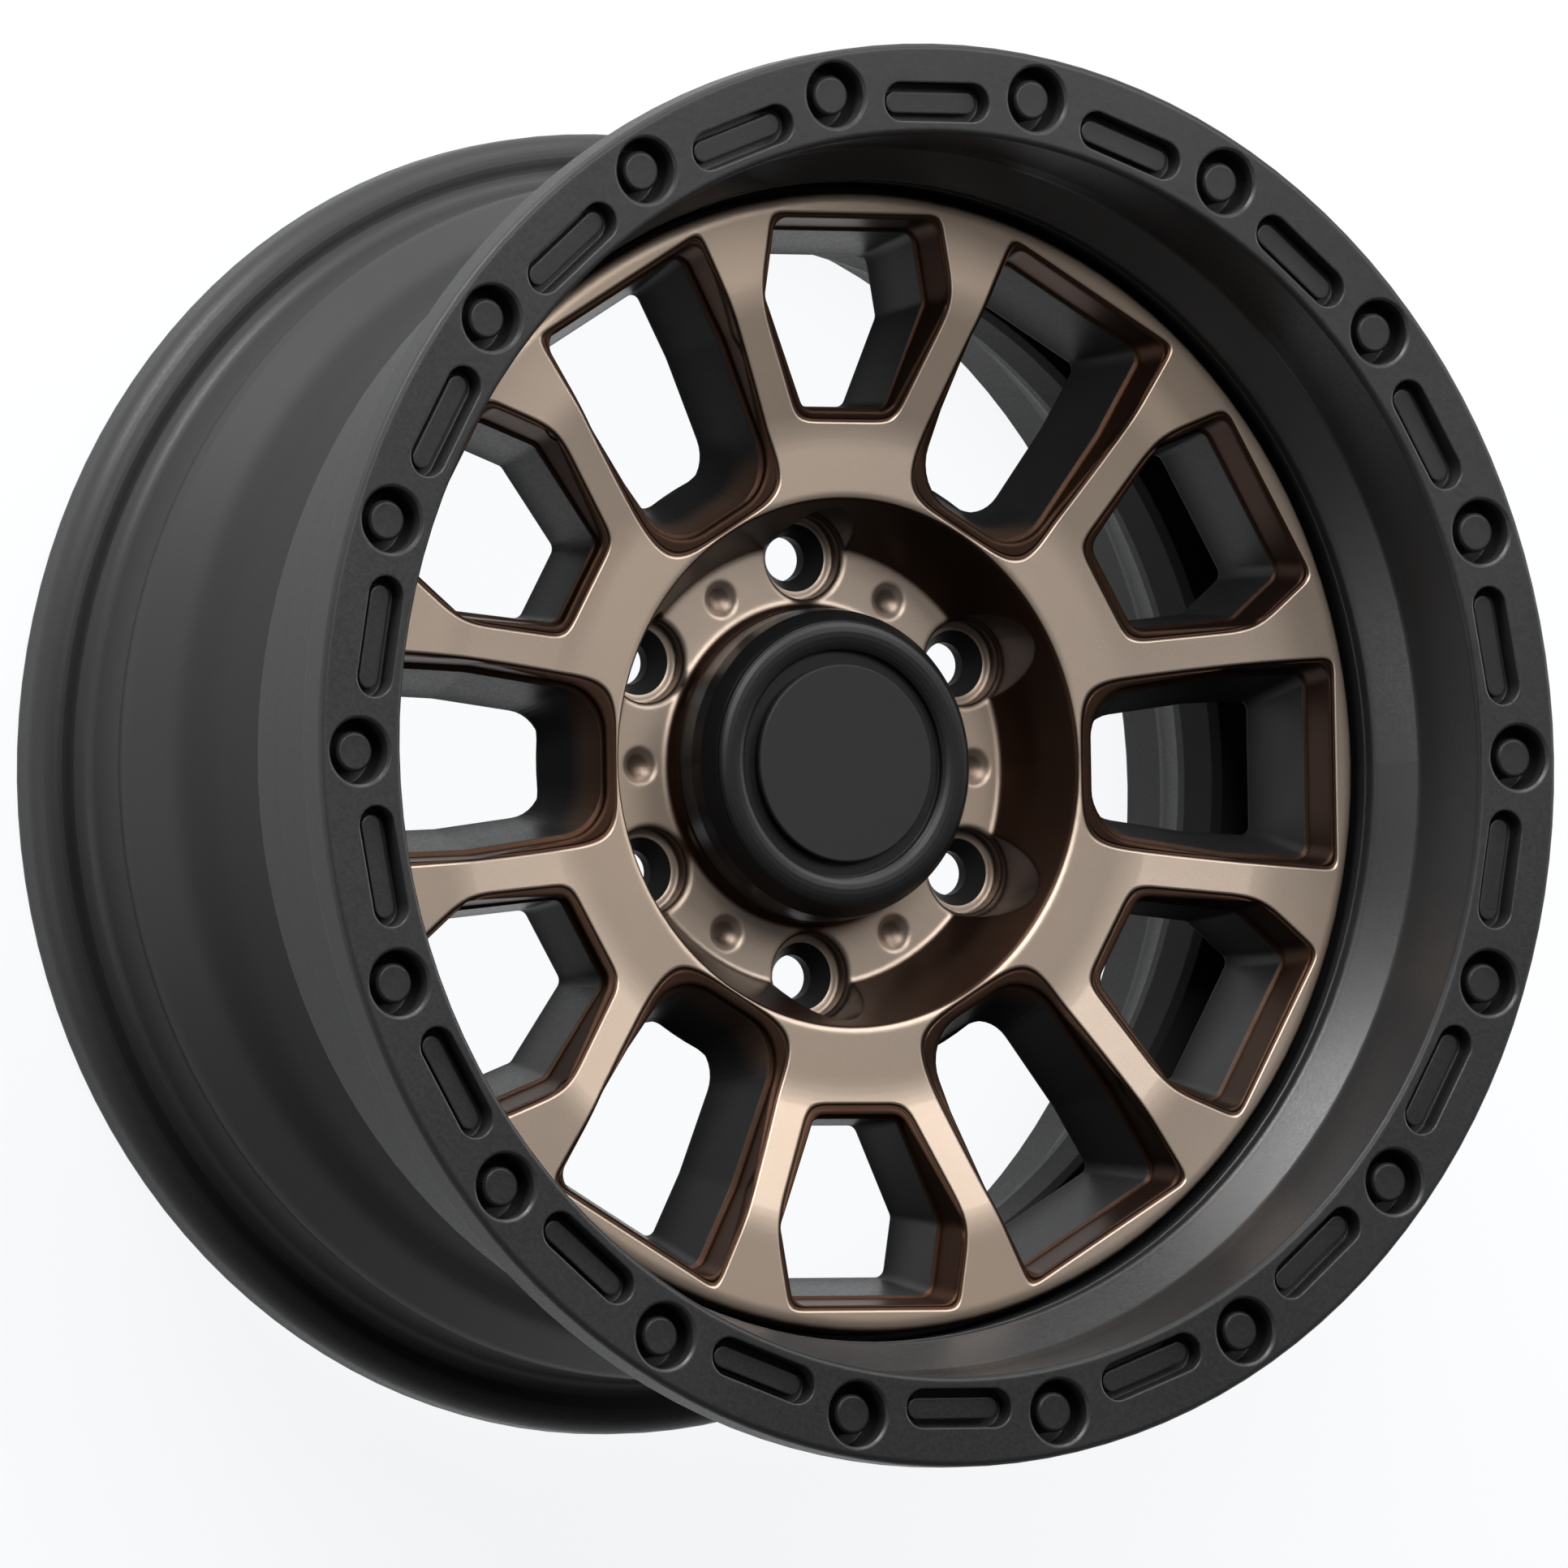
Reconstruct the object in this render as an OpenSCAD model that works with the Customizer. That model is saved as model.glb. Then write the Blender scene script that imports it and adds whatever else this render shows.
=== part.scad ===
// Light truck wheel, cast in one piece with its bead ring, lying on the rear flange with the face up.
// The axle runs up Z, the rear flange stands on Z = 0, and 0 degrees points along +X.

/* [Rim] */
// Diameter of the two seats that the tyre beads sit on
bead_seat_d = 405.6; // [380:0.1:440]
// Width between the inner faces of the two flanges
rim_w = 177.8; // [150:0.1:220]
// Height of both flanges above the bead seats
flange_h = 17.5; // [15:0.1:20]
// Depth of the rear flange, from its inner face to the plane it stands on
rear_flange_w = 20; // [16:0.5:26]
// Depth of the front flange, from its inner face to the back of the bead ring
front_flange_w = 24.2; // [18:0.1:30]
// Radius of the curl at the tip of each flange
flange_curl_r = 9.5; // [6:0.1:10]
// Radius in the corner between a flange and its seat
seat_root_r = 6.5; // [4:0.1:7]
// Width of each bead seat, corner included
seat_w = 20; // [18:0.5:24]
// Slope of the bead seats, in degrees
seat_slope = 5; // [3:1:6]
// Depth of the drop well under the bead seats
well_depth = 17.4; // [16:0.1:20]
// Slope of the wall between the drop well and the rear seat, in degrees
well_slope = 23.5; // [18:0.5:28]
// Wall of the barrel
barrel_wall = 6.6; // [5:0.1:9]
// Wall of the rim beside the spoke disc
front_wall = 9; // [7:0.1:10]

/* [Bead ring] */
// Overhang of the cast-in bead ring beyond the tip of the flange
ring_overhang = 14.7; // [10:0.1:20]
// Width of the face of the ring, from its side to the mouth of the dish
ring_face_w = 30; // [28:0.5:33]
// Thickness of the bead ring
ring_t = 22; // [20:0.5:28]
// Straight part of the outer side of the ring
ring_side_h = 10; // [6:0.5:14]
// Inward run of the bevel behind the side
ring_bevel = 5; // [3:0.5:7]
// Rounding of the front edges of the ring
ring_edge_r = 2; // [1:0.1:3]
// Number of round pockets, and of the slots between them
pocket_n = 18; // [12:1:20]
// Distance from the side of the ring in to the middle of a pocket
pocket_inset = 14.5; // [13.5:0.1:16]
// Diameter of a pocket
pocket_d = 21.6; // [18:0.1:23]
// Depth of a pocket
pocket_depth = 14; // [8:0.5:16]
// Bevel round the mouth of a pocket
pocket_bevel = 0.8; // [0.4:0.1:1.2]
// Diameter of the cast plug that stands in each pocket
plug_d = 13.2; // [10:0.1:15]
// Distance from the ring face down to a plug
plug_sunk = 3.4; // [2:0.1:6]
// Distance from the side of the ring in to the middle of a slot
slot_inset = 19.5; // [18:0.1:21]
// Length of a slot
slot_l = 40; // [34:0.5:42]
// Width of a slot
slot_w = 13; // [11:0.1:15]
// Depth of a slot
slot_depth = 8; // [5:0.5:12]
// Width of the bar that is left standing in each slot
slot_bar_w = 7; // [5:0.1:8]
// Distance from the ring face down to a bar
slot_bar_sunk = 4.2; // [2:0.1:6]

/* [Dish] */
// Inward run of the straight wall of the dish
dish_wall_run = 1.2; // [0.5:0.1:2.5]
// Depth of the foot of the straight wall below the ring face
dish_wall_h = 30; // [24:1:36]
// Height of the narrow bevel below the wall
dish_bevel_h = 5.5; // [3:0.5:8]
// Inward run of the narrow bevel
dish_bevel_w = 1.4; // [1:0.1:3]
// Clearance between the foot of the sloping band and the edge of the disc
band_gap = 3.7; // [3:0.1:5]
// Height of the foot of the band above the disc face
band_rise = 6.5; // [4:0.5:9]
// Depth of the groove between the band and the spoke disc, below the disc face
groove_depth = 19; // [14:0.5:24]
// Width of the groove between the spoke disc and the rim
groove_w = 2.6; // [2:0.1:3]

/* [Spoke disc] */
// Depth of the disc face below the ring face, out at the rim
disc_depth = 55; // [52:0.5:60]
// Further depth of the disc face beside the hub opening
disc_dish = 10; // [6:0.5:12]
// Thickness of the spokes at the rim
spoke_t = 36; // [30:0.5:40]
// Rounding of the outer edge of the disc
shoulder_r = 5; // [3:0.5:6]
// Depth of the step inside each window, below the disc face at the rim
step_depth = 12; // [10:0.5:16]
// Width of the step inside each window
step_w = 0.8; // [0.5:0.1:2]
// Slope of the walls above the step, as their run inwards
wall_draft = 2.5; // [1.5:0.1:3.5]
// Land between the six-sided windows and the edge of the disc
hex_land = 9.5; // [8:0.1:12]
// Distance from their outer edge in to their widest corners
hex_bend = 26.5; // [22:0.5:32]
// Web between them and the hub opening
hex_web = 27.5; // [24:0.5:34]
// Half width of their outer edge
hex_outer_w = 31; // [27:0.5:33]
// Half width at their widest corners
hex_mid_w = 35.4; // [32:0.5:37]
// Half width of their inner edge
hex_inner_w = 17.5; // [14:0.5:20]
// Corner radius of the six-sided windows, and of the outer corners of the long ones
window_corner_r = 6; // [4:0.5:8]
// Land between the long windows and the edge of the disc
long_land = 10; // [8:0.1:12]
// Distance from their outer edge in to the bend in their sides
long_bend = 35; // [28:0.5:42]
// Web between them and the hub opening
long_web = 3; // [2:0.1:6]
// Half width of the long windows at the outer edge
long_outer_w = 34.2; // [31:0.2:36]
// Half width at the bend
long_mid_w = 32.8; // [29:0.1:34]
// Half width of their inner edge, before its corners are rounded
long_inner_w = 25; // [21:0.5:27]
// Radius of the inner corners of the long windows
long_corner_r = 18; // [12:0.5:20]

/* [Hub] */
// Diameter of the circle that the wheel bolts stand on
bolt_circle_d = 139.7; // [135:0.1:145]
// Diameter of the bolt holes
bolt_hole_d = 14.8; // [13:0.1:16]
// Diameter of the nut wells
nut_well_d = 28.4; // [26:0.1:29.5]
// Depth of the nut wells below the hub shelf
nut_well_depth = 6.5; // [5:0.5:9]
// Bevel round the mouth of a nut well
nut_well_bevel = 1.4; // [0.8:0.1:1.6]
// Large diameter of the cone that a nut seats in
nut_seat_d = 22.6; // [20:0.1:25]
// Depth of the hub shelf below the disc face at the rim
shelf_depth = 39; // [35:0.5:43]
// Inward run of the wall from the hub opening down to the shelf
shelf_wall_run = 13; // [10:0.5:16]
// Diameter of the hub opening in the disc face
hub_opening_d = 175; // [170:0.5:177]
// Thickness of the hub from the shelf to the mounting face
hub_t = 18; // [16:0.5:24]
// Reach of the mounting face beyond the bolt circle
hub_pad_reach = 16.2; // [12:0.1:20]
// Diameter of the pilot bore that centres the wheel on the axle hub
pilot_d = 106.1; // [100:0.1:110]
// Length of the pilot bore
pilot_l = 8; // [7:0.5:10]
// Diameter of the bore that the cap clips into
cap_bore_d = 99; // [95:0.1:100]
// Height of the groove that the cap legs catch in
catch_groove_h = 4.4; // [4:0.1:6]
// Height of the collar round the cap bore, above the hub shelf
collar_h = 6; // [4:0.5:8]
// Wall of the collar round the cap bore
collar_wall = 3; // [2:0.1:4]
// Length across each of the hollows that lighten the mounting face
hollow_l = 36; // [28:1:42]
// Width of these hollows
hollow_w = 17; // [12:0.5:20]
// Depth of these hollows
hollow_depth = 7; // [4:0.5:8]
// Diameter of the round dimples between the nut wells
dimple_d = 12.6; // [10:0.1:14]
// Depth of the dimples
dimple_depth = 3; // [1.5:0.1:4]
// Distance from the bolt circle in to the middle of a dimple
dimple_inset = 5.8; // [5:0.1:7]
// Diameter of the valve hole
valve_hole_d = 11.3; // [11:0.1:12]

/* [Centre cap] */
// Distance from the side of the collar in to the side of the cap
cap_inset = 0.3; // [0:0.1:1]
// Height of the cap above the collar
cap_h = 20; // [16:0.5:24]
// Height of the straight part of the side of the cap
cap_side_h = 8; // [5:0.5:10]
// Inward run of the side of the cap up to its front edge
cap_taper = 4.2; // [3:0.1:6]
// Wall of the cap
cap_wall = 2.6; // [2:0.1:3.2]
// Height that the front of the cap swells above its edge
cap_crown = 2; // [1:0.1:3]
// Width of the swelling rim round the front of the cap
cap_rim_w = 10.2; // [8:0.1:12]
// Depth of the ring groove
cap_groove_depth = 3.6; // [2:0.1:4.5]
// Width of the ring groove in the front of the cap
cap_groove_w = 4.8; // [3:0.1:6]
// Thickness of the plain disc
insert_t = 2; // [1.5:0.1:3]
// Number of clip legs under the cap
leg_n = 8; // [6:1:10]
// Thickness of a clip leg
leg_t = 1.9; // [1.6:0.1:2.4]
// Slit between two clip legs
leg_slit = 9; // [6:0.5:14]
// Diameter of the spring wire inside the legs
wire_d = 2; // [1.6:0.1:2.4]
// Clearance between the legs and the cap bore
cap_gap = 0.3; // [0.2:0.05:0.5]

/* [Hidden] */
$fn = 72;
eps = 0.02;
over = 1;
window_n = 6;
window_pitch = 360 / window_n;
bolt_n = 6;
seat_r = bead_seat_d / 2;
flange_r = seat_r + flange_h;
ring_r = flange_r + ring_overhang;
mouth_r = ring_r - ring_face_w;
wall_r = mouth_r - dish_wall_run;
pocket_circle_r = ring_r - pocket_inset;
slot_circle_r = ring_r - slot_inset;
rear_face_z = rear_flange_w;
front_face_z = rear_face_z + rim_w;
ring_back_z = front_face_z + front_flange_w;
face_z = ring_back_z + ring_t;
seat_drop = (seat_w - seat_root_r) * tan(seat_slope);
seat_end_r = seat_r - seat_drop;
groove_r = seat_end_r - front_wall;
disc_r = groove_r - groove_w;
band_r = disc_r + band_gap;
hump_w = 8;
hump_h = 1;
well_r = seat_r - well_depth;
well_in_r = well_r - barrel_wall;
disc_z = face_z - disc_depth;
disc_in_z = disc_z - disc_dish;
spoke_back_z = disc_z - spoke_t;
step_z = disc_z - step_depth;
band_foot_z = disc_z + band_rise;
groove_z = disc_z - groove_depth;
shelf_z = disc_z - shelf_depth;
pad_z = shelf_z - hub_t;
opening_r = hub_opening_d / 2;
shelf_r = opening_r - shelf_wall_run;
bolt_r = bolt_circle_d / 2;
hub_pad_r = bolt_r + hub_pad_reach;
dimple_circle_r = bolt_r - dimple_inset;
hex_outer_r = disc_r - hex_land;
hex_mid_r = hex_outer_r - hex_bend;
hex_inner_r = opening_r + hex_web;
long_outer_r = disc_r - long_land;
long_mid_r = long_outer_r - long_bend;
long_inner_r = opening_r + long_web;
nut_floor_z = shelf_z - nut_well_depth;
nut_seat_h = (nut_seat_d - bolt_hole_d) / 2 / tan(30);
catch_z = pad_z + pilot_l;
cap_bore_r = cap_bore_d / 2;
catch_r = cap_bore_r + 1.6;
collar_r = cap_bore_r + collar_wall;
cap_r = collar_r - cap_inset;
collar_fillet = 3.5;
collar_z = shelf_z + collar_h;
cap_top_z = collar_z + cap_h;
groove_floor_z = cap_top_z - cap_groove_depth;
insert_z = cap_top_z - insert_t;
leg_out_r = cap_bore_r - cap_gap;
leg_in_r = leg_out_r - leg_t;
leg_foot_z = catch_z + cap_gap;
leg_hook = 1.3;
wire_r = wire_d / 2;
wire_circle_r = leg_in_r - wire_r + wire_r / 2;
wire_z = leg_foot_z + 5;

// Points along an arc, from angle a0 to angle a1 in degrees.
function arc(cx, cy, r, a0, a1, n = 6) =
    [for (i = [0 : n]) let (a = a0 + (a1 - a0) * i / n) [cx + r * cos(a), cy + r * sin(a)]];

// Tyre side of the rim, from the ring face round to the plane that the wheel stands on.
front_ledge_z = front_face_z - seat_w - hump_w - 34;
line_z = front_ledge_z + 15;
front_well_z = front_ledge_z - well_depth;
rear_hump_z = rear_face_z + seat_w + hump_w;
rear_well_z = rear_hump_z + well_depth * 2.3;
function hump(z, side) =
    [for (i = [0 : 6]) [seat_end_r + hump_h * sin(180 * i / 6), z - side * hump_w * i / 6]];
outer_line = concat(
    arc(ring_r - ring_edge_r, face_z - ring_edge_r, ring_edge_r, 90, 0),
    [[ring_r, face_z - ring_side_h - ring_edge_r],
     [ring_r - ring_bevel, ring_back_z + 2],
     [ring_r - ring_bevel - 2, ring_back_z],
     [flange_r, ring_back_z]],
    arc(flange_r - flange_curl_r, front_face_z + flange_curl_r, flange_curl_r, 0, -90, 10),
    arc(seat_r + seat_root_r, front_face_z - seat_root_r, seat_root_r, 90, 180, 8),
    hump(front_face_z - seat_w, 1),
    [[seat_end_r, line_z + 0.4],
     [seat_end_r - 0.5, line_z]],
    arc(seat_end_r - 2.5, front_ledge_z + 2, 2, 0, -45, 4),
    [[well_r + 2.3, front_well_z + 1.3]],
    arc(well_r + 8, front_well_z - 4, 8, 135, 180, 4),
    arc(well_r + 30, rear_well_z, 30, 180, 180 + well_slope, 5),
    hump(rear_face_z + seat_w + hump_w, 1),
    arc(seat_r + seat_root_r, rear_face_z + seat_root_r, seat_root_r, 180, 270, 8),
    arc(flange_r - flange_curl_r, rear_face_z - flange_curl_r, flange_curl_r, 90, 0, 10),
    arc(flange_r - 3.5, 3.5, 3.5, 0, -90, 5)
);

// Axle side of the rim and the back of the disc, from the rear plane up to the pilot bore.
barrel_in_r = groove_r + 0.9;
rear_lip_r = flange_r - 9.3;
back_line = [
    [rear_lip_r + 1.5, 0],
    [rear_lip_r, 0.8],
    [seat_r - 7.3, rear_face_z + 7.5],
    [seat_r - 7.6, rear_hump_z + 2],
    [well_in_r + 1, rear_well_z],
    [well_in_r, rear_well_z + 6],
    [well_in_r, front_well_z - 6],
    [well_in_r + 1.2, front_well_z - 1],
    [barrel_in_r - 1.5, front_ledge_z - 4],
    [barrel_in_r, front_ledge_z],
    [barrel_in_r, spoke_back_z - 3],
    [barrel_in_r - 3, spoke_back_z],
    [opening_r + 18, spoke_back_z],
    [hub_pad_r + 2.5, pad_z + 4],
    [hub_pad_r, pad_z]
];

// Bores of the hub and the shelf, up to the disc face.
hub_line = concat(
    [[pilot_d / 2 + 1.2, pad_z],
     [pilot_d / 2, pad_z + 1.2],
     [pilot_d / 2, catch_z],
     [catch_r, catch_z],
     [catch_r, catch_z + catch_groove_h],
     [cap_bore_r, catch_z + catch_groove_h],
     [cap_bore_r, collar_z],
     [collar_r - 0.6, collar_z],
     [collar_r, collar_z - 0.6]],
    arc(collar_r + collar_fillet, shelf_z + collar_fillet, collar_fillet, 180, 270, 6),
    arc(shelf_r - 2, shelf_z + 2, 2, -90, -20, 4),
    arc(opening_r + 2.6, disc_in_z - 3, 3, 160, 90, 6)
);

// Face of the disc, the groove and the dish, out to the ring face.
disc_line = concat(
    arc(opening_r + 18, disc_in_z + 60, 60, -90, -80, 4),
    arc(disc_r - 26, disc_z - 60, 60, 100, 90, 4),
    arc(disc_r - shoulder_r, disc_z - shoulder_r, shoulder_r, 90, 0, 8),
    [[disc_r, groove_z],
     [groove_r, groove_z],
     [groove_r, band_foot_z - 5.5],
     [band_r - 0.7, band_foot_z - 5.5],
     [band_r - 0.7, band_foot_z - 1.6]],
    arc(band_r + 0.9, band_foot_z - 1.6, 1.6, 180, 125, 4),
    [[wall_r - dish_bevel_w, face_z - dish_wall_h - dish_bevel_h],
     [wall_r, face_z - dish_wall_h]],
    arc(mouth_r + ring_edge_r, face_z - ring_edge_r, ring_edge_r, 180, 90)
);

// Copies of a shape round the axle, the first at angle start.
module around(n, start = 0) {
    for (i = [0 : n - 1])
        rotate([0, 0, start + 360 * i / n])
            children();
}

// Oblong with round ends, lying across X.
module oblong(l, w, h) {
    linear_extrude(height = h)
        union() {
            square([w, l - w], center = true);
            for (side = [-1, 1])
                translate([0, side * (l - w) / 2])
                    circle(d = w);
        }
}

// Each corner of a window is its place and its radius. The list covers one side, and the other is its mirror.
hex_side = [
    [hex_outer_r, hex_outer_w, window_corner_r],
    [hex_mid_r, hex_mid_w, window_corner_r],
    [hex_inner_r, hex_inner_w, window_corner_r]
];
long_side = [
    [long_outer_r, long_outer_w, window_corner_r],
    [long_mid_r, long_mid_w, long_corner_r],
    [long_inner_r, long_inner_w, long_corner_r]
];
// The same sides at the step, where the opening that narrows to the back starts.
below = wall_draft + step_w;
hex_side_below = [
    [hex_outer_r - below, hex_outer_w - below, window_corner_r - 2],
    [hex_mid_r - 0.5, hex_mid_w - below - 0.4, window_corner_r - 2],
    [hex_inner_r + below, hex_inner_w - below / 2, window_corner_r - 2]
];
long_side_below = [
    [long_outer_r - below, long_outer_w - below, window_corner_r - 2],
    [long_mid_r, long_mid_w - below, long_corner_r],
    [long_inner_r + wall_draft + 0.3, long_inner_w - wall_draft - 0.3, long_corner_r - 1]
];
function both_sides(side) =
    concat(side, [for (i = [len(side) - 1 : -1 : 0]) [side[i][0], -side[i][1], side[i][2]]]);
function place(corner) = [corner[0], corner[1]];
function unit(v) = v / norm(v);

// Points round one corner at p with radius r, between the ways a and b to its neighbours.
function corner_arc(p, a, b, r) =
    let (half = acos(a * b) / 2,
         turn = 180 - 2 * half,
         centre = p + unit(a + b) * r / sin(half),
         from = p + a * r / tan(half) - centre,
         to = p + b * r / tan(half) - centre,
         n = ceil(turn / 11))
    [for (i = [0 : n]) centre + (from * sin(turn * (1 - i / n)) + to * sin(turn * i / n)) / sin(turn)];

// Outline through corners, each of them rounded.
function round_outline(corners) =
    let (n = len(corners))
    [for (i = [0 : n - 1])
        let (p = place(corners[i]),
             a = unit(place(corners[(i + n - 1) % n]) - p),
             b = unit(place(corners[(i + 1) % n]) - p))
        each corner_arc(p, a, b, corners[i][2])];

// Front recess that narrows to the step, then an opening that narrows to the back of the spokes.
module window(side, side_below, mid_r, shrink) {
    recess_r = (side[0][0] + side[2][0]) / 2;
    low = 1 - 2 * wall_draft / (side[0][0] - side[2][0]);
    overlap = 0.5;
    translate([recess_r, 0, step_z])
        linear_extrude(height = step_depth + over, scale = 1 + (1 / low - 1) * (1 + over / step_depth), slices = 1)
            scale([low, low])
                translate([-recess_r, 0])
                    polygon(round_outline(both_sides(side)));
    translate([mid_r, 0, step_z + overlap])
        mirror([0, 0, 1])
            linear_extrude(height = overlap + step_z - spoke_back_z + over, scale = shrink, slices = 1)
                translate([-mid_r, 0])
                    polygon(round_outline(both_sides(side_below)));
}

module windows() {
    around(window_n, window_pitch / 2)
        window(hex_side, hex_side_below, hex_inner_r + 15, [0.854, 0.85]);
    around(window_n)
        window(long_side, long_side_below, long_inner_r + 49, [0.773, 0.72]);
}

// Round pocket of the bead ring, with its bevelled mouth.
module pocket() {
    translate([0, 0, face_z - pocket_depth])
        cylinder(d = pocket_d, h = pocket_depth + over);
    translate([0, 0, face_z - pocket_bevel])
        cylinder(d1 = pocket_d, d2 = pocket_d + 2 * (pocket_bevel + over), h = pocket_bevel + over);
}

module plug() {
    plug_edge = 0.8;
    plug_h = pocket_depth - plug_sunk;
    translate([0, 0, face_z - pocket_depth - eps]) {
        cylinder(d = plug_d, h = plug_h - plug_edge + eps);
        translate([0, 0, plug_h - plug_edge])
            cylinder(d1 = plug_d, d2 = plug_d - 2 * plug_edge, h = plug_edge + eps);
    }
}

module ring_recesses() {
    around(pocket_n)
        translate([pocket_circle_r, 0, 0])
            pocket();
    around(pocket_n, 180 / pocket_n)
        translate([slot_circle_r, 0, face_z - slot_depth])
            oblong(slot_l, slot_w, slot_depth + over);
}

module ring_fillings() {
    around(pocket_n)
        translate([pocket_circle_r, 0, 0])
            plug();
    around(pocket_n, 180 / pocket_n)
        translate([slot_circle_r, 0, face_z - slot_depth - eps])
            oblong(slot_l - slot_w + slot_bar_w, slot_bar_w, slot_depth - slot_bar_sunk + eps);
}

// Well, cone seat and hole for one wheel bolt.
module bolt_place() {
    translate([0, 0, nut_floor_z])
        cylinder(d = nut_well_d, h = disc_z - nut_floor_z);
    translate([0, 0, shelf_z - nut_well_bevel])
        cylinder(d1 = nut_well_d, d2 = nut_well_d + 2 * nut_well_bevel, h = nut_well_bevel);
    translate([0, 0, shelf_z - eps])
        cylinder(d = nut_well_d + 2 * nut_well_bevel, h = disc_z - shelf_z);
    translate([0, 0, nut_floor_z - nut_seat_h])
        cylinder(d1 = bolt_hole_d, d2 = nut_seat_d, h = nut_seat_h + eps);
    translate([0, 0, pad_z - over])
        cylinder(d = bolt_hole_d, h = nut_floor_z - pad_z);
}

module dimple() {
    ball_r = (pow(dimple_d / 2, 2) + pow(dimple_depth, 2)) / (2 * dimple_depth);
    translate([0, 0, shelf_z + ball_r - dimple_depth])
        sphere(r = ball_r);
}

module hub_hollow() {
    translate([bolt_r, 0, pad_z - over])
        oblong(hollow_l, hollow_w, hollow_depth + over);
}

// Hole for the tyre valve, square to the barrel behind the lowest window.
module valve_hole() {
    rotate([0, 0, -90])
        translate([barrel_in_r - 6, 0, line_z - valve_hole_d / 2 - 1])
            rotate([0, 90, 0])
                cylinder(d = valve_hole_d, h = 30);
}

module wheel_casting() {
    color([0.55, 0.47, 0.40]) {
        difference() {
            rotate_extrude($fn = 180)
                polygon(concat(outer_line, back_line, hub_line, disc_line));
            windows();
            ring_recesses();
            around(bolt_n, 180 / bolt_n)
                translate([bolt_r, 0, 0])
                    bolt_place();
            around(bolt_n)
                translate([dimple_circle_r, 0, 0])
                    dimple();
            around(bolt_n)
                hub_hollow();
            valve_hole();
        }
        ring_fillings();
    }
}

// Moulded cap: side wall, swelling front with a ring groove, and a skirt that is slit into legs.
cap_front_r = cap_r - cap_taper;
cap_groove_r = cap_front_r - cap_rim_w;
insert_r = cap_groove_r - cap_groove_w;
cap_edge_z = cap_top_z - cap_crown;
cap_shoulder_z = collar_z + cap_side_h;
crown_x = (cap_front_r + cap_groove_r) / 2;
crown_w = (cap_front_r - cap_groove_r) / 2;
function crown(a) = [crown_x + crown_w * cos(a), cap_edge_z + cap_crown * sin(a)];
cap_shell_line = concat(
    [[leg_in_r, leg_foot_z],
     [leg_out_r - 0.6, leg_foot_z],
     [leg_out_r + leg_hook, leg_foot_z + 1.6],
     [leg_out_r + leg_hook, leg_foot_z + 2.4],
     [leg_out_r, leg_foot_z + catch_groove_h],
     [leg_out_r, collar_z],
     [cap_r - 0.4, collar_z],
     [cap_r, collar_z + 0.4],
     [cap_r, cap_shoulder_z],
     [cap_r - 0.9, cap_shoulder_z + (cap_edge_z - cap_shoulder_z) * 0.5],
     [cap_front_r + 0.3, cap_edge_z - 0.3]],
    [for (a = [0 : 20 : 160]) crown(a)],
    [[cap_groove_r, cap_edge_z + 0.3],
     [cap_groove_r, groove_floor_z],
     [insert_r - 2, groove_floor_z],
     [insert_r - 2, insert_z],
     [0, insert_z],
     [0, groove_floor_z - cap_wall],
     [cap_groove_r + cap_wall, groove_floor_z - cap_wall],
     [cap_groove_r + cap_wall, cap_edge_z - cap_wall],
     [cap_front_r - cap_wall, cap_edge_z - cap_wall],
     [cap_r - cap_wall, cap_shoulder_z],
     [cap_r - cap_wall, collar_z + cap_wall + 1],
     [leg_in_r, collar_z + cap_wall]]
);

module centre_cap() {
    color([0.08, 0.08, 0.085])
        difference() {
            rotate_extrude($fn = 120)
                polygon(cap_shell_line);
            around(leg_n)
                translate([leg_in_r - over, -leg_slit / 2, leg_foot_z - over])
                    cube([leg_t + leg_hook + 2 * over, leg_slit, collar_z - leg_foot_z - 2 + over]);
            translate([0, 0, wire_z])
                rotate_extrude()
                    translate([wire_circle_r, 0])
                        circle(d = wire_d + cap_gap, $fn = 24);
        }
}

module cap_disc() {
    edge = 0.5;
    color([0.10, 0.10, 0.105])
        translate([0, 0, insert_z]) {
            cylinder(r = insert_r, h = insert_t - edge);
            translate([0, 0, insert_t - edge])
                cylinder(r1 = insert_r, r2 = insert_r - edge, h = edge);
        }
}

module cap_spring_ring() {
    color([0.62, 0.63, 0.65])
        translate([0, 0, wire_z])
            rotate_extrude()
                translate([wire_circle_r, 0])
                    circle(d = wire_d, $fn = 24);
}

// Node to build

wheel_casting();
centre_cap();
cap_disc();
cap_spring_ring();
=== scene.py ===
"""Looks of the alloy wheel: camera, floor, studio light and the paint, plastic and wire of its pieces."""

import math

import bpy
from mathutils import Matrix, Vector


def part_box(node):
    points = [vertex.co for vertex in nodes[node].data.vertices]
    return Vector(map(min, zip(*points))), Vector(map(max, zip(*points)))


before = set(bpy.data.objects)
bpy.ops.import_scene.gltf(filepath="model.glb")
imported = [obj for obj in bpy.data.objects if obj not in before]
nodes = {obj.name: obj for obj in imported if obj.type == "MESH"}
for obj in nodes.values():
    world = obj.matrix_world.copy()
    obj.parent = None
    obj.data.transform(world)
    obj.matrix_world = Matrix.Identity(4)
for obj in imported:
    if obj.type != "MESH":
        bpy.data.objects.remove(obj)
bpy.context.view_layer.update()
_, cast_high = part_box("wheel_casting")

MM = 1000.0

# Heights and radii of the casting, in metres
FACE_Z = cast_high.z
DISC_Z = FACE_Z - 0.055
STEP_Z = DISC_Z - 0.012
NUT_FLOOR_Z = DISC_Z - 0.0455
DISC_R = 0.19002
HUB_OPENING_R = 0.0895
HUB_EDGE_R = 0.0875

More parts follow.
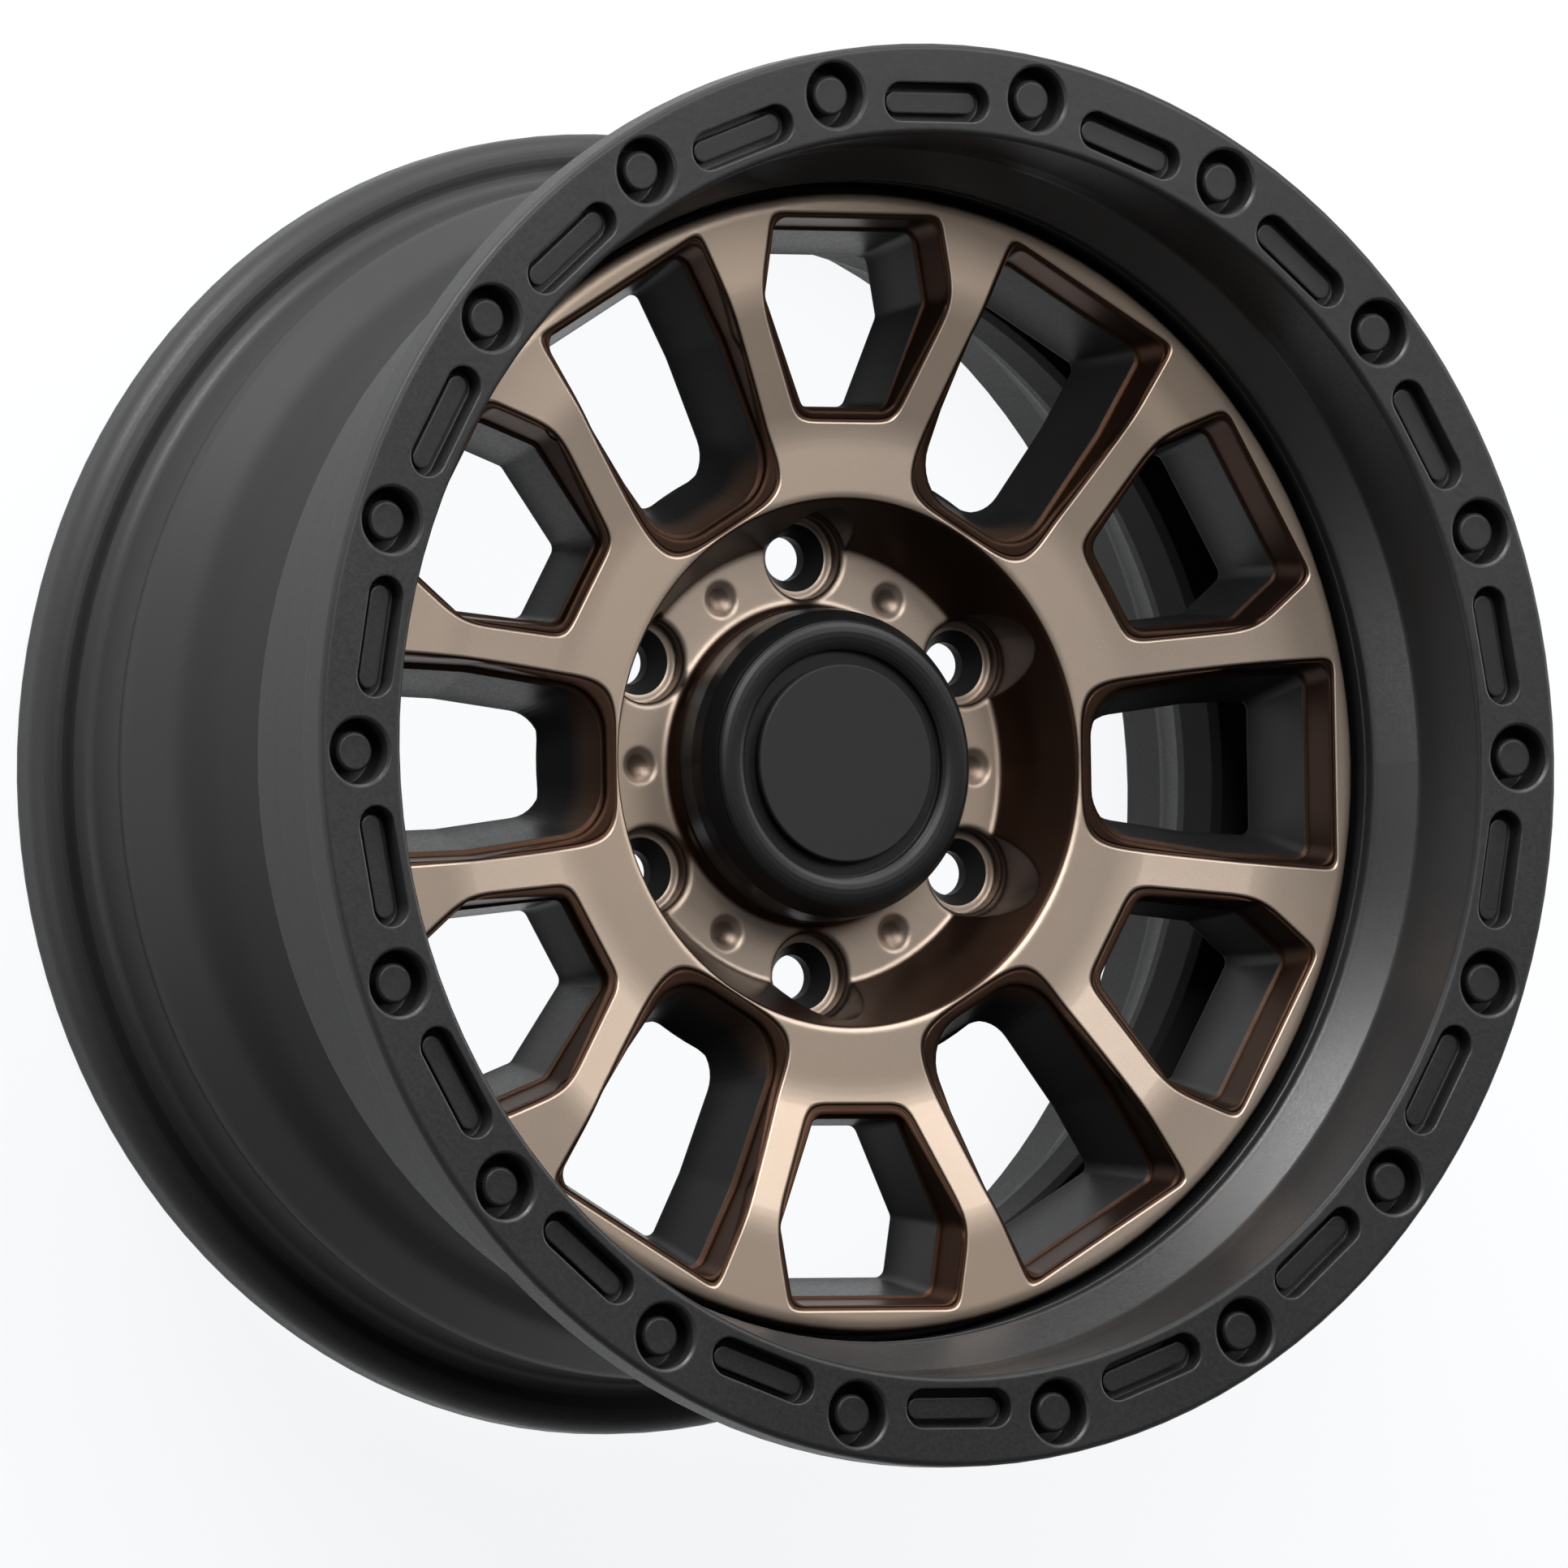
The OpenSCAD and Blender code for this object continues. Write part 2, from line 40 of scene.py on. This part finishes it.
# Corners of the windows at the disc face, as radius and half width in millimetres, from the outermost to the innermost
LONG_CORNERS = ((180.02, 34.2), (145.02, 32.8), (90.5, 25.0))
HEX_CORNERS = ((180.52, 31.0), (154.02, 35.4), (115.0, 17.5))
LONG_SOFTNESS = (7.0, 8.0, 20.0)
HEX_SOFTNESS = (7.0, 8.0, 8.0)
DIMPLE_CIRCLE_R = 64.05

# Spans over which the black changes, as from and to in metres
HAZE_HEIGHTS = (STEP_Z - 0.014, STEP_Z + 0.002)
HAZE_RADII = (0.112, 0.096)
BARREL_RADII = (0.166, 0.172)
BARREL_INSIDE_RADII = (0.196, 0.190)
DISH_HEIGHTS = (DISC_Z - 0.04, DISC_Z - 0.02)
BAND_HEIGHTS = (DISC_Z + 0.005, DISC_Z + 0.008)
WALL_HEIGHTS = (DISC_Z + 0.0195, DISC_Z + 0.0215)
WALL_RADII = (0.2068, 0.2056)
FACING_OUT = (0.05, 0.35)

# Spans over which the bronze changes: radii in metres, then distances from a border in millimetres. Most of them turn
# the bronze into painted shade along the windows and the disc and hub edges, round the collar, in the dimples and on
# faces that don't face up; the groove and lip spans shape bumps
HUB_EDGE_RADII = (HUB_EDGE_R - 0.001, HUB_EDGE_R)
COLLAR_RADII = (0.0535, 0.0555)
WINDOW_BORDER = (1.5, 2.0)
WINDOW_GROOVE = (2.4, 0.9)
WINDOW_LIP = (0.7, 0.3)
RIM_BORDER = (0.5, 1.1)
DIMPLE_BORDER = (3.0, 5.6)
FACING_UP = (0.55, 0.9)

# Bumps of the bronze, in millimetres
SKIN_BUMP = 0.012
GROOVE_DEPTH = 0.8
LIP_HEIGHT = 0.35

# Parts of the range of a noise mask that a colour or a roughness follows
MIDDLE = (0.3, 0.7)
WIDE = (0.2, 0.8)
EDGE_SAMPLES = 6

# Colours, or the darkest and lightest of a colour that varies
BRONZE = ((0.475, 0.380, 0.307), (0.56, 0.452, 0.370))
BRONZE_CLOUD = (0.49, 0.382, 0.298)
# Dark bronze of thinner paint, darkened further as painted shade for the steep walls, the borders, the dimples and the
# collar
THIN_AND_SHADED_BRONZE = ((0.040, 0.022, 0.015), (0.062, 0.030, 0.018))
BRONZE_HAZE = (0.20, 0.12, 0.08)
RIM_BLACK = ((0.011, 0.011, 0.0115), (0.016, 0.016, 0.0165))
BARREL_BLACK = (0.023, 0.023, 0.0236)
BARREL_INSIDE_BLACK = (0.022, 0.022, 0.0225)
CAP_BLACK = ((0.006, 0.006, 0.0063), (0.009, 0.009, 0.0095))
CAP_DISC_BLACK = ((0.012, 0.012, 0.0125), (0.016, 0.016, 0.0168))
SPRING_STEEL = ((0.48, 0.48, 0.50), (0.62, 0.62, 0.64))
FLOOR = (0.86, 0.865, 0.87)
FLOOR_GLOW = (0.965, 0.98, 0.995)
HORIZON = (0.36, 0.36, 0.36)
OVERHEAD = (0.07, 0.07, 0.072)

# Floor and room; the share of its glow that the camera sees is given under the wheel and around it
FLOOR_SIDE = 60.0
GLOW_RADII = (0.17, 0.25)
GLOW_SHARES = (0.975, 0.90)
SKY_HEIGHTS = (0.15, 0.45)

# Camera, with its lens in pixels of the photograph and its turns in radians
PHOTO_SIDE = 1932
LENS_PX = 28000.0
SENSOR = 36.0
CAMERA_TURN = 0.515480935
CAMERA_PITCH = -0.0378292648
CAMERA_ROLL = 0.0166861111
CAMERA_SHIFT = Vector((0.0541, 0.009797, -7.49297))

# Lamps, as name, turn from +X and rise above the disc face in degrees, and watts
LAMP_SIDE = 1.2
LAMP_DISTANCE = 2.4
LAMPS = (
    ("left_low_box", 121, 10, 104.0),
    ("left_box", 190, 8, 14.0),
    ("back_low_box", 75, 14, 28.0),
    ("right_low_box", 12, 14, 18.0),
    ("right_box", 45, 42, 22.0),
    ("top_box", 105, 60, 38.0),
)


# Node helpers


def feed(tree, value, socket):
    """Gives an input socket a number, a colour or the output of another node."""
    if isinstance(value, bpy.types.NodeSocket):
        tree.links.new(value, socket)
    elif isinstance(value, tuple):
        socket.default_value = (*value, 1.0)
    else:
        socket.default_value = value


def feed_all(tree, node, **values):
    """Feeds the inputs of a node by their names, with an underscore where a name has a space."""
    for label, value in values.items():
        feed(tree, value, node.inputs[label.replace("_", " ")])
    return node


def new_group(name, inputs, outputs):
    """A shader node group, with inputs as name and number, and outputs as name and whether each is a vector."""
    group = bpy.data.node_groups.new(name, "ShaderNodeTree")
    for label, value in inputs.items():
        socket = group.interface.new_socket(label, in_out="INPUT", socket_type="NodeSocketFloat")
        socket.default_value = value
    for label, is_vector in outputs.items():
        kind = "NodeSocketVector" if is_vector else "NodeSocketFloat"
        group.interface.new_socket(label, in_out="OUTPUT", socket_type=kind)
    return group, group.nodes.new("NodeGroupInput"), group.nodes.new("NodeGroupOutput")


def use_group(tree, group, **values):
    node = tree.nodes.new("ShaderNodeGroup")
    node.node_tree = group
    return feed_all(tree, node, **values)


def math_node(tree, operation, *values, clamp=False):
    """The output of a Math node whose inputs are numbers or sockets."""
    node = tree.nodes.new("ShaderNodeMath")
    node.operation = operation
    node.use_clamp = clamp
    for socket, value in zip(node.inputs, values):
        feed(tree, value, socket)
    return node.outputs[0]


def times(tree, a, b):
    return math_node(tree, "MULTIPLY", a, b)


def rest_of(tree, share):
    return math_node(tree, "SUBTRACT", 1.0, share)


def ramp(tree, value, low, high, to_low=0.0, to_high=1.0):
    """Smooth step of a value from low to high."""
    node = tree.nodes.new("ShaderNodeMapRange")
    node.interpolation_type = "SMOOTHSTEP"
    feed_all(tree, node, Value=value, From_Min=low, From_Max=high, To_Min=to_low, To_Max=to_high)
    return node.outputs["Result"]


def mix_colour(tree, factor, a, b):
    node = tree.nodes.new("ShaderNodeMix")
    node.data_type = "RGBA"
    feed(tree, factor, node.inputs["Factor"])
    for label, value in (("A", a), ("B", b)):
        feed(tree, value, next(s for s in node.inputs if s.name == label and s.type == "RGBA"))
    return next(s for s in node.outputs if s.type == "RGBA")


def split(tree, vector):
    """The X, Y and Z of a vector."""
    node = tree.nodes.new("ShaderNodeSeparateXYZ")
    feed(tree, vector, node.inputs[0])
    return node.outputs


def noise(tree, coords, scale, detail):
    node = tree.nodes.new("ShaderNodeTexNoise")
    feed_all(tree, node, Vector=coords, Scale=scale, Detail=detail)
    return node.outputs["Fac"]


def bevel(tree, radius):
    """The normal as if the edges were rounded over a radius."""
    node = tree.nodes.new("ShaderNodeBevel")
    node.samples = EDGE_SAMPLES
    feed(tree, radius, node.inputs["Radius"])
    return node.outputs["Normal"]


# Shared effects


def make_place_group():
    """Distance from the axle and height above the floor, in metres, and how far a surface faces away from the axle."""
    group, _, out = new_group("wheel_place", {}, {"Radius": False, "Height": False, "Outward": False})
    source = group.nodes.new("ShaderNodeTexCoord")
    spot = split(group, source.outputs["Object"])
    facing = split(group, source.outputs["Normal"])
    square = math_node(group, "ADD", times(group, spot["X"], spot["X"]), times(group, spot["Y"], spot["Y"]))
    radius = math_node(group, "SQRT", square)
    outward = math_node(group, "MULTIPLY_ADD", facing["Y"], spot["Y"], times(group, facing["X"], spot["X"]))
    feed_all(group, out, Radius=radius, Height=spot["Z"], Outward=math_node(group, "DIVIDE", outward, radius))
    return group


def make_skin_group():
    """Fine grain and slow waves of sprayed paint: a height for bump, a grain mask and a cloud mask, all near 0 to 1."""
    group, put, out = new_group(
        "paint_skin",
        {"Grain Scale": 1400.0, "Wave Scale": 110.0},
        {"Height": False, "Grain": False, "Cloud": False},
    )
    coords = group.nodes.new("ShaderNodeTexCoord").outputs["Object"]
    grain = noise(group, coords, put.outputs["Grain Scale"], 1.0)
    wave = noise(group, coords, put.outputs["Wave Scale"], 1.0)
    height = math_node(group, "ADD", times(group, wave, 2.0), grain)
    feed_all(group, out, Height=height, Grain=grain, Cloud=noise(group, coords, 9.0, 3.0))
    return group


def make_edge_group():
    """Rounds sharp edges in the light over a radius and adds a bump. Up is how far a surface rounded over the wider
    band faces up: 1 on a flat face, and less on a wall and near an edge."""
    group, put, out = new_group(
        "soft_edges",
        {"Radius": 0.001, "Height": 0.0, "Depth": 0.00002, "Band": 0.004},
        {"Normal": True, "Up": False},
    )
    bump = feed_all(
        group,
        group.nodes.new("ShaderNodeBump"),
        Height=put.outputs["Height"],
        Distance=put.outputs["Depth"],
        Normal=bevel(group, put.outputs["Radius"]),
    )
    up = split(group, bevel(group, put.outputs["Band"]))["Z"]
    feed_all(group, out, Normal=bump.outputs["Normal"], Up=up)
    return group


def half_window(tree, radius, angle, corners, softness):
    """Distance outside one half of a window, from its corners, with the corners rounded by softness, in millimetres."""
    along = times(tree, radius, math_node(tree, "COSINE", angle))
    across = times(tree, radius, math_node(tree, "SINE", angle))
    reach = math_node(tree, "SUBTRACT", along, corners[0][0])
    for (r0, w0), (r1, w1), soft in zip(corners, corners[1:], softness):
        length = math.hypot(r1 - r0, w1 - w0)
        n_along, n_across = (w1 - w0) / length, (r0 - r1) / length
        side = math_node(tree, "MULTIPLY_ADD", along, n_along, -(r0 * n_along + w0 * n_across))
        side = math_node(tree, "MULTIPLY_ADD", across, n_across, side)
        reach = math_node(tree, "SMOOTH_MAX", reach, side, soft)
    inner = math_node(tree, "SUBTRACT", corners[-1][0], along)
    return math_node(tree, "SMOOTH_MAX", reach, inner, softness[-1])


def make_border_group():
    """Distance across the disc face from the nearest window, from the edge of the disc or of the hub opening, and from
    the middle of the nearest dimple, in millimetres. Long and six-sided windows take turns every 30 degrees."""
    group, _, out = new_group("disc_borders", {}, {"Window": False, "Rim": False, "Dimple": False})
    spot = split(group, group.nodes.new("ShaderNodeTexCoord").outputs["Object"])
    radius = times(group, use_group(group, PLACE).outputs["Radius"], MM)
    sixth = math_node(group, "DIVIDE", math_node(group, "ARCTAN2", spot["Y"], spot["X"]), math.pi / 3)
    off = math_node(group, "ABSOLUTE", math_node(group, "SUBTRACT", sixth, math_node(group, "ROUND", sixth)))
    off = times(group, off, math.pi / 3)
    long_window = half_window(group, radius, off, LONG_CORNERS, LONG_SOFTNESS)
    other = math_node(group, "SUBTRACT", math.pi / 6, off)
    hex_window = half_window(group, radius, other, HEX_CORNERS, HEX_SOFTNESS)
    disc_edge = math_node(group, "SUBTRACT", DISC_R * MM, radius)
    hub_edge = math_node(group, "ABSOLUTE", math_node(group, "SUBTRACT", radius, HUB_EDGE_R * MM))
    along = math_node(group, "MULTIPLY_ADD", radius, math_node(group, "COSINE", off), -DIMPLE_CIRCLE_R)
    across = times(group, radius, math_node(group, "SINE", off))
    away = math_node(group, "MULTIPLY_ADD", along, along, times(group, across, across))
    feed_all(
        group,
        out,
        Window=math_node(group, "MINIMUM", long_window, hex_window),
        Rim=math_node(group, "MINIMUM", disc_edge, hub_edge),
        Dimple=math_node(group, "SQRT", away),
    )
    return group


PLACE = make_place_group()
SKIN = make_skin_group()
EDGES = make_edge_group()
BORDERS = make_border_group()


# Materials


def new_material(name):
    material = bpy.data.materials.new(name)
    material.use_nodes = True
    tree = material.node_tree
    return material, tree, tree.nodes["Principled BSDF"]


def make_bronze():
    """Sprayed metallic bronze, satin, full on what faces the spray gun and dark on the steep walls, along the windows
    and edges, in the dimples and on the collar, where it is thinner paint darkened further as painted shade."""
    material, tree, shader = new_material("bronze_paint")
    skin = use_group(tree, SKIN, Grain_Scale=3200.0, Wave_Scale=160.0).outputs
    borders = use_group(tree, BORDERS).outputs
    radius = use_group(tree, PLACE).outputs["Radius"]
    groove = times(tree, ramp(tree, borders["Window"], *WINDOW_GROOVE), GROOVE_DEPTH)
    lip = times(tree, ramp(tree, borders["Window"], *WINDOW_LIP), LIP_HEIGHT)
    height = math_node(tree, "SUBTRACT", times(tree, skin["Height"], SKIN_BUMP), groove)
    height = math_node(tree, "ADD", height, lip)
    edges = use_group(tree, EDGES, Radius=0.002, Height=height, Depth=1.0 / MM, Band=0.003).outputs

    cloud = ramp(tree, skin["Cloud"], *MIDDLE)
    full = mix_colour(tree, ramp(tree, skin["Grain"], *MIDDLE), *BRONZE)
    full = mix_colour(tree, cloud, full, BRONZE_CLOUD)
    # Dark bronze of thinner paint with painted shade, for the walls, borders, dimples and collar
    thin_and_shaded = mix_colour(tree, cloud, *THIN_AND_SHADED_BRONZE)

    # Painted shade: the bronze goes dark along the windows and the disc and hub edges, round the collar, in the dimples
    # and on faces that don't face up
    clear = times(tree, ramp(tree, borders["Window"], *WINDOW_BORDER), ramp(tree, borders["Rim"], *RIM_BORDER))
    clear = math_node(tree, "MAXIMUM", clear, rest_of(tree, ramp(tree, radius, *HUB_EDGE_RADII)))
    clear = times(tree, clear, ramp(tree, radius, *COLLAR_RADII))
    clear = times(tree, clear, ramp(tree, borders["Dimple"], *DIMPLE_BORDER, 0.25, 1.0))
    cover_and_light = times(tree, ramp(tree, edges["Up"], *FACING_UP), clear)
    feed_all(
        tree,
        shader,
        Base_Color=mix_colour(tree, cover_and_light, thin_and_shaded, full),
        Metallic=ramp(tree, cover_and_light, 0.0, 1.0, 0.88, 0.72),
        Specular_IOR_Level=ramp(tree, cover_and_light, 0.0, 1.0, 0.28, 0.5),
        Roughness=ramp(tree, skin["Cloud"], *MIDDLE, 0.36, 0.42),
        Normal=edges["Normal"],
    )
    return material


def make_black():
    """Satin black powder coat, dull on the barrel and high on the dish wall, glossier on the band round the disc, with
    a bronze haze below the steps of the windows."""
    material, tree, shader = new_material("rim_black")
    skin = use_group(tree, SKIN, Grain_Scale=900.0, Wave_Scale=120.0).outputs
    edges = use_group(tree, EDGES, Radius=0.001, Height=skin["Height"], Depth=0.00002).outputs
    place = use_group(tree, PLACE).outputs
    radius, height = place["Radius"], place["Height"]

    haze = times(tree, times(tree, ramp(tree, height, *HAZE_HEIGHTS), ramp(tree, radius, *HAZE_RADII)), 0.8)
    outside = times(tree, ramp(tree, place["Outward"], *FACING_OUT), ramp(tree, radius, *BARREL_RADII))
    inside = ramp(tree, radius, *BARREL_INSIDE_RADII)
    front = ramp(tree, height, *DISH_HEIGHTS)
    high = ramp(tree, height, *WALL_HEIGHTS)
    wall = times(tree, high, ramp(tree, radius, *WALL_RADII))
    band = math_node(tree, "SUBTRACT", ramp(tree, height, *BAND_HEIGHTS), high)

    black = mix_colour(tree, ramp(tree, skin["Cloud"], *MIDDLE), *RIM_BLACK)
    black = mix_colour(tree, outside, black, BARREL_BLACK)
    black = mix_colour(tree, times(tree, inside, rest_of(tree, front)), black, BARREL_INSIDE_BLACK)

    barrel_gloss = ramp(tree, inside, 0.0, 1.0, 0.14, 0.03)
    front = times(tree, times(tree, front, rest_of(tree, outside)), ramp(tree, wall, 0.0, 1.0, 1.0, 0.15))
    gloss = times(tree, front, math_node(tree, "SUBTRACT", 0.5, barrel_gloss))
    gloss = math_node(tree, "MULTIPLY_ADD", times(tree, band, front), 0.25, gloss)
    feed_all(
        tree,
        shader,
        Base_Color=mix_colour(tree, haze, black, BRONZE_HAZE),
        Metallic=haze,
        Specular_IOR_Level=math_node(tree, "ADD", gloss, barrel_gloss),
        Roughness=ramp(tree, skin["Grain"], *WIDE, 0.36, 0.46),
        Normal=edges["Normal"],
    )
    return material


def make_plastic(name, colours, roughness):
    """Moulded satin plastic with a faint grain."""
    material, tree, shader = new_material(name)
    skin = use_group(tree, SKIN, Grain_Scale=1800.0, Wave_Scale=60.0).outputs
    edges = use_group(tree, EDGES, Radius=0.0006, Height=skin["Height"], Depth=0.00001).outputs
    feed_all(
        tree,
        shader,
        Base_Color=mix_colour(tree, skin["Cloud"], *colours),
        Specular_IOR_Level=0.35,
        Roughness=ramp(tree, skin["Grain"], *WIDE, *roughness),
        Normal=edges["Normal"],
    )
    return material


def make_wire():
    """Bright drawn spring wire."""
    material, tree, shader = new_material("spring_steel")
    skin = use_group(tree, SKIN, Grain_Scale=2500.0, Wave_Scale=400.0).outputs
    feed_all(
        tree,
        shader,
        Base_Color=mix_colour(tree, skin["Grain"], *SPRING_STEEL),
        Metallic=1.0,
        Roughness=ramp(tree, skin["Cloud"], *WIDE, 0.22, 0.34),
    )
    return material


def is_bronze(centre, normal):
    """True on the faces of the casting that carry the bronze: the disc down to the steps, and the hub recess. The
    limits lie a little past the surfaces, so that the faces on them count."""
    radius = math.hypot(centre.x, centre.y)
    outward = (centre.x * normal.x + centre.y * normal.y) / max(radius, 1e-6)
    if radius > DISC_R - 0.00002 or (radius > DISC_R - 0.001 and outward > 0.9):
        return False
    if radius < HUB_OPENING_R:
        return centre.z > NUT_FLOOR_Z - 0.0005
    return centre.z > STEP_Z - 0.0002


def set_materials(node, *materials):
    node.data.materials.clear()
    for material in materials:
        node.data.materials.append(material)


def paint_casting(node, black, bronze):
    """Gives each face of the casting its slot: 0 for the black and 1 for the bronze."""
    set_materials(node, black, bronze)
    for face in node.data.polygons:
        face.material_index = int(is_bronze(face.center, face.normal))


# Studio


def make_camera():
    """Places the camera as the photograph's was: the wheel's face frame, seen from its left through a long lens."""
    turn = (
        Matrix.Rotation(CAMERA_ROLL, 3, "Z")
        @ Matrix.Rotation(CAMERA_PITCH, 3, "X")
        @ Matrix.Rotation(CAMERA_TURN, 3, "Y")
    )
    back = turn.transposed()
    data = bpy.data.cameras.new("camera")
    data.sensor_width = SENSOR
    data.lens = LENS_PX / PHOTO_SIDE * SENSOR
    data.clip_start = 0.1
    data.clip_end = 100.0
    camera = bpy.data.objects.new("camera", data)
    bpy.context.scene.collection.objects.link(camera)
    camera.matrix_world = Matrix.Translation(Vector((0.0, 0.0, FACE_Z)) - back @ CAMERA_SHIFT) @ back.to_4x4()
    bpy.context.scene.camera = camera


def make_floor():
    """Pale floor that the wheel lies on. The camera sees it near white, and it keeps the wheel's shadow."""
    bpy.ops.mesh.primitive_plane_add(size=FLOOR_SIDE)
    floor = bpy.context.object
    floor.name = "floor"
    material, tree, shader = new_material("floor")
    feed_all(tree, shader, Base_Color=FLOOR, Roughness=0.9, Specular_IOR_Level=0.2)
    glow = feed_all(tree, tree.nodes.new("ShaderNodeEmission"), Color=FLOOR_GLOW)
    ray = tree.nodes.new("ShaderNodeLightPath").outputs
    seen = math_node(tree, "ADD", ray["Is Camera Ray"], ray["Is Glossy Ray"], clamp=True)
    seen = math_node(tree, "ADD", seen, ray["Is Transmission Ray"], clamp=True)
    share = ramp(tree, use_group(tree, PLACE).outputs["Radius"], *GLOW_RADII, *GLOW_SHARES)
    blend = tree.nodes.new("ShaderNodeMixShader")
    feed(tree, times(tree, seen, share), blend.inputs["Fac"])
    feed(tree, shader.outputs["BSDF"], blend.inputs[1])
    feed(tree, glow.outputs["Emission"], blend.inputs[2])
    feed(tree, blend.outputs["Shader"], tree.nodes["Material Output"].inputs["Surface"])
    floor.data.materials.append(material)


def make_softbox(name, turn, rise, watts):
    """Soft area lamp that faces the middle of the disc."""
    data = bpy.data.lights.new(name, "AREA")
    data.shape = "SQUARE"
    data.size = LAMP_SIDE
    data.energy = watts
    turn, rise = math.radians(turn), math.radians(rise)
    way = Vector((math.cos(turn) * math.cos(rise), math.sin(turn) * math.cos(rise), math.sin(rise)))
    lamp = bpy.data.objects.new(name, data)
    bpy.context.scene.collection.objects.link(lamp)
    lamp.location = Vector((0.0, 0.0, DISC_Z)) + LAMP_DISTANCE * way
    lamp.rotation_mode = "QUATERNION"
    lamp.rotation_quaternion = (-way).to_track_quat("-Z", "Y")
    lamp.visible_camera = False


def make_world():
    """Studio room, pale round the horizon and greyer overhead."""
    world = bpy.data.worlds.new("studio")
    bpy.context.scene.world = world
    world.use_nodes = True
    tree = world.node_tree
    up = split(tree, tree.nodes.new("ShaderNodeTexCoord").outputs["Generated"])["Z"]
    sky = mix_colour(tree, ramp(tree, up, *SKY_HEIGHTS), HORIZON, OVERHEAD)
    feed_all(tree, tree.nodes["Background"], Color=sky, Strength=1.0)


make_camera()
make_floor()
make_world()
for lamp_row in LAMPS:
    make_softbox(*lamp_row)

paint_casting(nodes["wheel_casting"], make_black(), make_bronze())
set_materials(nodes["centre_cap"], make_plastic("cap_plastic", CAP_BLACK, (0.34, 0.42)))
set_materials(nodes["cap_disc"], make_plastic("disc_plastic", CAP_DISC_BLACK, (0.42, 0.52)))
set_materials(nodes["cap_spring_ring"], make_wire())

bpy.context.scene.view_settings.view_transform = "Standard"
